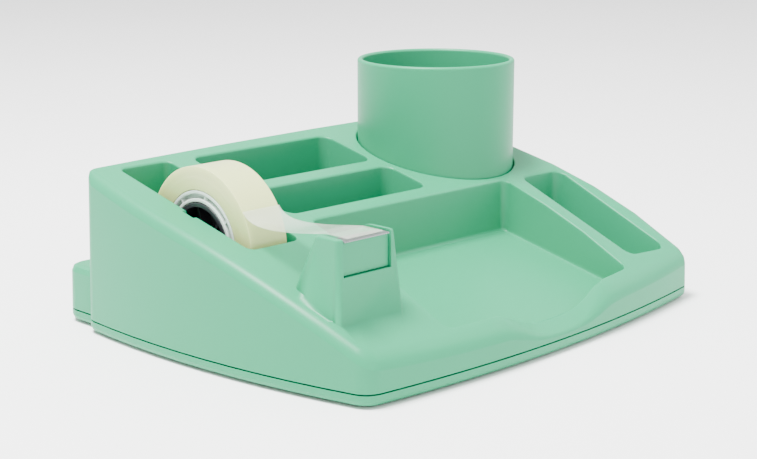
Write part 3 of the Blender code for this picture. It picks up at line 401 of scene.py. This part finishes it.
# %% The wound tape and the rings of its core
low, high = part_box("tape_winding")
ROLL_RADIUS = (high.z - low.z) / 2
low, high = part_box("tape_core")
CORE_RADIUS = (high.z - low.z) / 2
CORE_DEPTH = 4.7 * MM
CORE_BORE = CORE_RADIUS - CORE_DEPTH
HALF_TAPE = (high.x - low.x) / 2
RING_WALL = 1.4 * MM
WEB_INSET = 3 * MM  # from the core's ends to its web
LAYER_STEP = 0.05 * MM  # how far a layer stands out
FILM_GAP = 0.3 * MM  # between the core and the first layer
LAYERS = 9


def ring_section(outer, inner, half, edge):
    points = corner((outer - edge, half - edge), edge, 0, 90, 2)
    points += corner((inner + edge, half - edge), edge, 90, 180, 2)
    points += corner((inner + edge, edge - half), edge, 180, 270, 2)
    return points + corner((outer - edge, edge - half), edge, 270, 360, 2)


inner = CORE_RADIUS + FILM_GAP
uneven = []
for index in range(LAYERS + 1):
    share = index / LAYERS
    proud = LAYER_STEP * math.sin(index * 2.4)
    uneven.append((ROLL_RADIUS - 0.1 * MM - (ROLL_RADIUS - inner - 0.1 * MM) * share, proud))
section = [(ROLL_RADIUS, 0.15 * MM - HALF_TAPE), (ROLL_RADIUS, HALF_TAPE - 0.15 * MM)]
section += [(out, HALF_TAPE - 0.06 * MM + proud) for out, proud in uneven]
section += [(out, 0.06 * MM - HALF_TAPE + proud) for out, proud in reversed(uneven)]
roll = soft_shading(turned("roll_skin", section, AXIS, True, 180), 30)
settle(roll, "tape_roll", "tape_film", FILM, "tape_winding")

rings = []
for outer in (CORE_RADIUS, CORE_BORE + RING_WALL):
    shape = ring_section(outer, outer - RING_WALL, HALF_TAPE, 0.3 * MM)
    rings.append(turned("ring", shape, AXIS, True, 120))
half_wall = RING_WALL / 2
web_outer, web_inner = CORE_RADIUS - half_wall, CORE_BORE + half_wall
shape = ring_section(web_outer, web_inner, HALF_TAPE - WEB_INSET, 0.1 * MM)
rings.append(turned("web", shape, AXIS, True, 120))
print("roll", round(2 * ROLL_RADIUS / MM, 1), "mm across, core", round(2 * CORE_RADIUS / MM, 1), "mm")

# %% [markdown]
# ## Geometry Nodes for what repeats
# Ribs stand evenly round an axis, teeth stand evenly along an edge, and screws and foot pads repeat at
# given places. Geometry Nodes make each from a count and a few sizes, so one number changes them all.
# A small builder adds nodes by type name, and `run` sets the named inputs, bakes the result into a
# plain mesh and removes the modifier.

# %% A builder for node trees
class Tree:
    """A geometry node tree with named inputs."""

    def __init__(self, name, **inputs):
        self.group = bpy.data.node_groups.new(name, "GeometryNodeTree")
        self.sockets = {}
        face = self.group.interface
        face.new_socket("Geometry", in_out="INPUT", socket_type="NodeSocketGeometry")
        for label, kind in inputs.items():
            made = face.new_socket(label, in_out="INPUT", socket_type="NodeSocket" + kind)
            self.sockets[label] = made.identifier
        face.new_socket("Geometry", in_out="OUTPUT", socket_type="NodeSocketGeometry")
        self.given = self.group.nodes.new("NodeGroupInput").outputs

    def node(self, kind, output=0, settings=None, inputs=None, **named):
        node = self.group.nodes.new(kind)
        for name, value in (settings or {}).items():
            setattr(node, name, value)
        pairs = list((inputs or {}).items())
        pairs += [(name.replace("_", " "), value) for name, value in named.items()]
        for key, value in pairs:
            self.join(value, node.inputs[key])
        return node.outputs[output]

    def join(self, value, slot):
        if isinstance(value, bpy.types.NodeSocket):
            self.group.links.new(value, slot)
        else:
            slot.default_value = value

    def maths(self, operation, first, second=0.0):
        return self.node("ShaderNodeMath", 0, {"operation": operation}, {0: first, 1: second})

    def end(self, geometry):
        """Realises the instances, gives them their finish and ends the tree."""
        real = self.node("GeometryNodeRealizeInstances", Geometry=geometry)
        dressed = self.node(
            "GeometryNodeSetMaterial", Geometry=real, Material=self.given["Material"]
        )
        out = self.group.nodes.new("NodeGroupOutput")
        self.group.links.new(dressed, out.inputs[0])

    def run(self, name, points=(), **values):
        """A new piece that the tree makes from points and named values."""
        data = bpy.data.meshes.new(name)
        data.from_pydata([tuple(point) for point in points] or [(0, 0, 0)], [], [])
        piece = bpy.data.objects.new(name, data)
        bpy.context.scene.collection.objects.link(piece)
        made = piece.modifiers.new(self.group.name, "NODES")
        made.node_group = self.group
        for label, value in values.items():
            made[self.sockets[label]] = value
        return bake(piece)


# %% Ribs round an axis
ribs = Tree(
    "ribs round an axis", Count="Int", Inner="Float", Outer="Float", Thickness="Float",
    Width="Float", Start="Float", Centre="Vector", Material="Material",
)
given = ribs.given
index = ribs.node("GeometryNodeInputIndex")
turn = ribs.maths("DIVIDE", ribs.maths("MULTIPLY", index, 2 * math.pi), given["Count"])
turn = ribs.maths("ADD", turn, given["Start"])
reach = ribs.maths("MULTIPLY", ribs.maths("ADD", given["Inner"], given["Outer"]), 0.5)
place = ribs.node(
    "ShaderNodeCombineXYZ",
    Y=ribs.maths("MULTIPLY", ribs.maths("COSINE", turn), reach),
    Z=ribs.maths("MULTIPLY", ribs.maths("SINE", turn), reach),
)
place = ribs.node("ShaderNodeVectorMath", 0, {"operation": "ADD"}, {0: place, 1: given["Centre"]})
dots = ribs.node("GeometryNodePoints", Count=given["Count"], Position=place)
size = ribs.node(
    "ShaderNodeCombineXYZ", X=given["Width"],
    Y=ribs.maths("SUBTRACT", given["Outer"], given["Inner"]), Z=given["Thickness"],
)
rib = ribs.node("GeometryNodeMeshCube", Size=size)
lean = ribs.node("ShaderNodeCombineXYZ", X=turn)
placed = ribs.node("GeometryNodeInstanceOnPoints", Points=dots, Instance=rib, Rotation=lean)
ribs.end(placed)

CORE_RIBS, HUB_RIBS = 8, 6
core_ribs = ribs.run(
    "core_ribs", Count=CORE_RIBS, Inner=web_inner, Outer=web_outer,
    Thickness=0.9 * MM, Width=2 * HALF_TAPE - 1 * MM, Start=math.radians(9), Centre=AXIS,
    Material=CORE,
)
print("core ribs:", len(core_ribs.data.polygons), "faces")

# %% [markdown]
# ## Core and hub
# The core's two rings, the web between them and its ribs are one moulding, joined into one piece. The
# black hub has a rim that fills the core, a boss that runs the width of the well, and thin ribs
# between them.

# %% Join the core, then build the hub
def joined(name, pieces):
    """Several meshes as one piece."""
    mesh = bmesh.new()
    for piece in pieces:
        mesh.from_mesh(piece.data)
        bpy.data.objects.remove(piece)
    return new_piece(name, mesh)


core = soft_shading(joined("core_skin", [*rings, core_ribs]), 40)
settle(core, "tape_roll", "core_plastic", CORE, "tape_core")

low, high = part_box("tape_hub")
hub_rim = (high.z - low.z) / 2
hub_half = (high.x - low.x) / 2
axle_low, axle_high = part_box("hub_axle")
axle_radius = (axle_high.z - axle_low.z) / 2
boss, bore, web = 6.5 * MM, axle_radius + 0.1 * MM, 1.0 * MM
section = corner((hub_rim - 0.4 * MM, HALF_TAPE - 0.4 * MM), 0.4 * MM, 0, 90, 3)
section += [(hub_rim - 1.8 * MM, HALF_TAPE), (hub_rim - 1.8 * MM, web)]
section += [(boss, web), (boss, hub_half - 0.3 * MM), (boss - 0.3 * MM, hub_half), (bore, hub_half)]
section += [(out, -up) for out, up in reversed(section)]
hub_body = turned("hub_body", section, AXIS, True, 120)
hub_ribs = ribs.run(
    "hub_ribs", Count=HUB_RIBS, Inner=boss - 0.5 * MM, Outer=hub_rim - 1.3 * MM, Thickness=1.2 * MM,
    Width=2 * HALF_TAPE - 7 * MM, Start=math.radians(9), Centre=AXIS, Material=HUB,
)
hub = soft_shading(joined("hub_skin", [hub_body, hub_ribs]), 40)
settle(hub, "tape_roll", "hub_plastic", HUB, "tape_hub")

half = (axle_high.x - axle_low.x) / 2
section = corner((axle_radius - 0.4 * MM, half - 0.4 * MM), 0.4 * MM, 0, 90, 3) + [(0.0, half)]
section += [(out, -up) for out, up in reversed(section)]
axle = soft_shading(turned("axle_skin", section, AXIS, True, 64), 30)
settle(axle, "roll_axle", "zinc_steel", ZINC, "hub_axle")

# %% [markdown]
# ## The free end of the tape
# The free end leaves the front of the roll, sags, and lies over the cutter. It is a strip of clear film,
# so what is behind it shows through.

# %% The free strip
tail = soft_shading(skin("tail_skin", "tape_tail"), 60)
settle(tail, "roll_axle", "tape_film", CLEAR, "tape_tail")

# %% [markdown]
# ## The toothed blade
# The cutter is a strip of spring steel with a row of small triangular teeth along its front edge. A
# grid with two columns for each tooth becomes that strip: every second point of the front row moves
# back by the depth of a tooth, and the sheet is then given its thickness.

# %% Teeth that follow a rule
teeth = Tree(
    "toothed strip", Teeth="Int", Length="Float", Depth="Float", Tooth="Float",
    Thickness="Float", Centre="Vector", Material="Material",
)
given = teeth.given
columns = teeth.maths("ADD", teeth.maths("MULTIPLY", given["Teeth"], 2.0), 1.0)
grid = teeth.node(
    "GeometryNodeMeshGrid",
    inputs={"Size X": given["Length"], "Size Y": given["Depth"], "Vertices X": columns, "Vertices Y": 6},
)
spot = teeth.node("ShaderNodeSeparateXYZ", Vector=teeth.node("GeometryNodeInputPosition"))
across, along = spot.node.outputs[0], spot.node.outputs[1]
pitch = teeth.maths("DIVIDE", given["Length"], teeth.maths("MULTIPLY", given["Teeth"], 2.0))
step = teeth.maths("ADD", teeth.maths("DIVIDE", across, pitch), given["Teeth"])
odd = teeth.maths("MODULO", teeth.maths("ROUND", step), 2.0)
valley = teeth.maths("SUBTRACT", 1.0, odd)
front = teeth.maths("LESS_THAN", along, teeth.maths("MULTIPLY", given["Depth"], -0.45))
shift = teeth.maths("MULTIPLY", teeth.maths("MULTIPLY", valley, front), given["Tooth"])
cut = teeth.node(
    "GeometryNodeSetPosition", Geometry=grid, Offset=teeth.node("ShaderNodeCombineXYZ", Y=shift)
)
raised = teeth.node(
    "GeometryNodeExtrudeMesh",
    inputs={"Mesh": cut, "Offset Scale": given["Thickness"], "Individual": False},
)
under = teeth.node("GeometryNodeFlipFaces", Mesh=cut)
both = teeth.group.nodes.new("GeometryNodeJoinGeometry")
teeth.join(raised, both.inputs[0])
teeth.join(under, both.inputs[0])
closed = teeth.node("GeometryNodeMergeByDistance", Geometry=both.outputs[0], Distance=0.00001)
teeth.end(teeth.node("GeometryNodeTransform", Geometry=closed, Translation=given["Centre"]))

TOOTH_COUNT = 20
TOOTH_DEPTH = 1.1 * MM
low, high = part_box("cutter_blade")
middle = Vector(((low.x + high.x) / 2, (low.y + high.y) / 2, low.z))
blade = teeth.run(
    "blade_skin", Teeth=TOOTH_COUNT, Length=high.x - low.x, Depth=high.y - low.y, Tooth=TOOTH_DEPTH,
    Thickness=high.z - low.z, Centre=middle, Material=BLADE,
)
settle(blade, "body", "blade_steel", BLADE, "cutter_blade")

# %% [markdown]
# ## Screws and foot pads underneath
# Six screws close the base, two more hold the ballast plates, and six rubber pads keep the base from
# slipping. One screw and one pad are drawn once. A node tree then puts a copy on each of a list of
# points, which are the middles of the CAD's own screws and pads.

# %% Copies at points
copies = Tree("copies at points", Piece="Object", Material="Material")
original = copies.node(
    "GeometryNodeObjectInfo", "Geometry", inputs={"Object": copies.given["Piece"], "As Instance": True}
)
points = copies.node("GeometryNodeMeshToPoints", Mesh=copies.given["Geometry"])
copies.end(copies.node("GeometryNodeInstanceOnPoints", Points=points, Instance=original))


def cross_recess(piece, radius, bar):
    """Cuts a cross into a screw's head, half as deep as the bars that cut it."""
    for turn in (0, math.pi / 2):
        mesh = bmesh.new()
        slot_size = Matrix.Diagonal((2 * radius, 0.35 * radius, bar, 1))
        at = Matrix.Rotation(turn, 4, "Z") @ slot_size
        bmesh.ops.create_cube(mesh, size=1, matrix=at)
        tool = new_piece("slot tool", mesh)
        cutter = piece.modifiers.new("slot", "BOOLEAN")
        cutter.operation = "DIFFERENCE"
        cutter.solver = "EXACT"
        cutter.object = tool
        bake(piece)
        bpy.data.objects.remove(tool)
    print(f"{piece.name}: cross {round(2 * radius / MM, 1)} mm wide, {round(bar / 2 / MM, 1)} mm deep")
    return piece


HEAD_HEIGHT, HEAD_ROUND = 1.9 * MM, 0.8 * MM
SHANK_RADIUS, POINT_LENGTH = 1.5 * MM, 1.5 * MM
RECESS_BAR = 1.6 * MM  # height of the bars that cut the cross, half of it in the head


def screw(name, head, length):
    """A screw with its head's face at height 0 and its shank upwards."""
    section = [(0.0, 0.0)] + corner((head - HEAD_ROUND, HEAD_ROUND), HEAD_ROUND, -90, 0, 4)
    section += [(head, HEAD_HEIGHT), (SHANK_RADIUS, HEAD_HEIGHT)]
    section += [(SHANK_RADIUS, length - POINT_LENGTH), (0.3 * SHANK_RADIUS, length), (0.0, length)]
    made = turned(name, section, Vector((0, 0, 0)), steps=36)
    return cross_recess(made, 0.62 * head, RECESS_BAR)


def middles(names, low_end=True):
    """The middle of each CAD node's lower or upper end."""
    found = []
    for name in names:
        low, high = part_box(name)
        z = low.z if low_end else high.z
        found.append(((low.x + high.x) / 2, (low.y + high.y) / 2, z))
    return found


def repeated(name, one, points, material):
    """One smooth piece with a copy of one at each point. The one that was drawn is then removed."""
    piece = soft_shading(copies.run(name, points, Piece=one, Material=material), 35)
    bpy.data.objects.remove(one)
    return piece


case_names = [f"case_screw_{n}" for n in range(1, 7)]
low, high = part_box(case_names[0])
one = screw("one case screw", (high.x - low.x) / 2, high.z - low.z)
case_screws = repeated("case_screws", one, middles(case_names), ZINC)
settle(case_screws, "body", "zinc_steel", ZINC, *case_names)

plate_names = ["ballast_screw_1", "ballast_screw_2"]
low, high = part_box(plate_names[0])
one = screw("one plate screw", (high.x - low.x) / 2, high.z - low.z)
one.data.transform(Matrix.Rotation(math.pi, 4, "X"))
plate_screws = repeated("plate_screws", one, middles(plate_names, False), ZINC)
settle(plate_screws, "body", "zinc_steel", ZINC, *plate_names)

# %% Foot pads
pad_names = [f"foot_pad_{n}" for n in range(1, 7)]
low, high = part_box(pad_names[0])
pad_radius, pad_height = (high.x - low.x) / 2, high.z - low.z
section = [(0.0, 0.25 * MM), (pad_radius * 0.55, 0.25 * MM), (pad_radius * 0.62, 0.0)]
section += corner((pad_radius - 0.5 * MM, 0.5 * MM), 0.5 * MM, -90, 0, 4)
section += [(pad_radius, pad_height), (0.0, pad_height)]
one = turned("one pad", section, Vector((0, 0, 0)), steps=60)
pads = repeated("foot_pads", one, middles(pad_names), RUBBER)
settle(pads, "body", "foot_rubber", RUBBER, *pad_names)

# %% [markdown]
# ## Studio
# A product picture of pale plastic needs a pale floor, a large soft light from the upper left, a wide
# fill from the right, and enough light all round that no shadow goes black. The camera stands well
# back at the front left corner with a long lens and looks a little down.

# %% Floor, light and camera
def pale_floor():
    finish = Finish("pale_floor")
    cloud = finish.noise(3.0, 1.0)
    finish.set(Base_Color=finish.mix(cloud, (0.91, 0.91, 0.91), (0.94, 0.94, 0.94)))
    finish.set(Roughness=cloud * 0.1 + 0.55)
    return finish.material


mesh = bmesh.new()
bmesh.ops.create_grid(mesh, x_segments=2, y_segments=2, size=6.0)
floor = new_piece("floor", mesh)
floor.data.materials.append(pale_floor())


def soft_light(name, place, aim, size, power):
    light = bpy.data.lights.new(name, "AREA")
    light.size = size
    light.energy = power
    lamp = bpy.data.objects.new(name, light)
    lamp.location = place
    lamp.rotation_euler = (Vector(aim) - Vector(place)).to_track_quat("-Z", "Y").to_euler()
    bpy.context.scene.collection.objects.link(lamp)


centre = (0.0, 0.0, 0.04)
soft_light("key light", (-0.35, 0.10, 1.3), centre, 0.45, 75)
soft_light("front fill", (-0.2, -1.6, 0.7), centre, 1.2, 8)
soft_light("right fill", (1.3, -0.5, 0.8), centre, 1.0, 6)

world = bpy.data.worlds.new("white room")
world.use_nodes = True
world.node_tree.nodes["Background"].inputs["Color"].default_value = (1.0, 1.0, 1.0, 1)
world.node_tree.nodes["Background"].inputs["Strength"].default_value = 1.7
bpy.context.scene.world = world

lens = bpy.data.cameras.new("camera")
lens.sensor_width = 36.0
lens.lens = 78.46
camera = bpy.data.objects.new("camera", lens)
camera.location = (-0.5003, -0.4980, 0.2020)
camera.rotation_euler = (math.radians(90 - 13.097), 0, math.radians(45.263 - 90))
bpy.context.scene.collection.objects.link(camera)
bpy.context.scene.camera = camera
print("camera", round(lens.lens, 1), "mm lens, height", round(camera.location.z / MM), "mm")
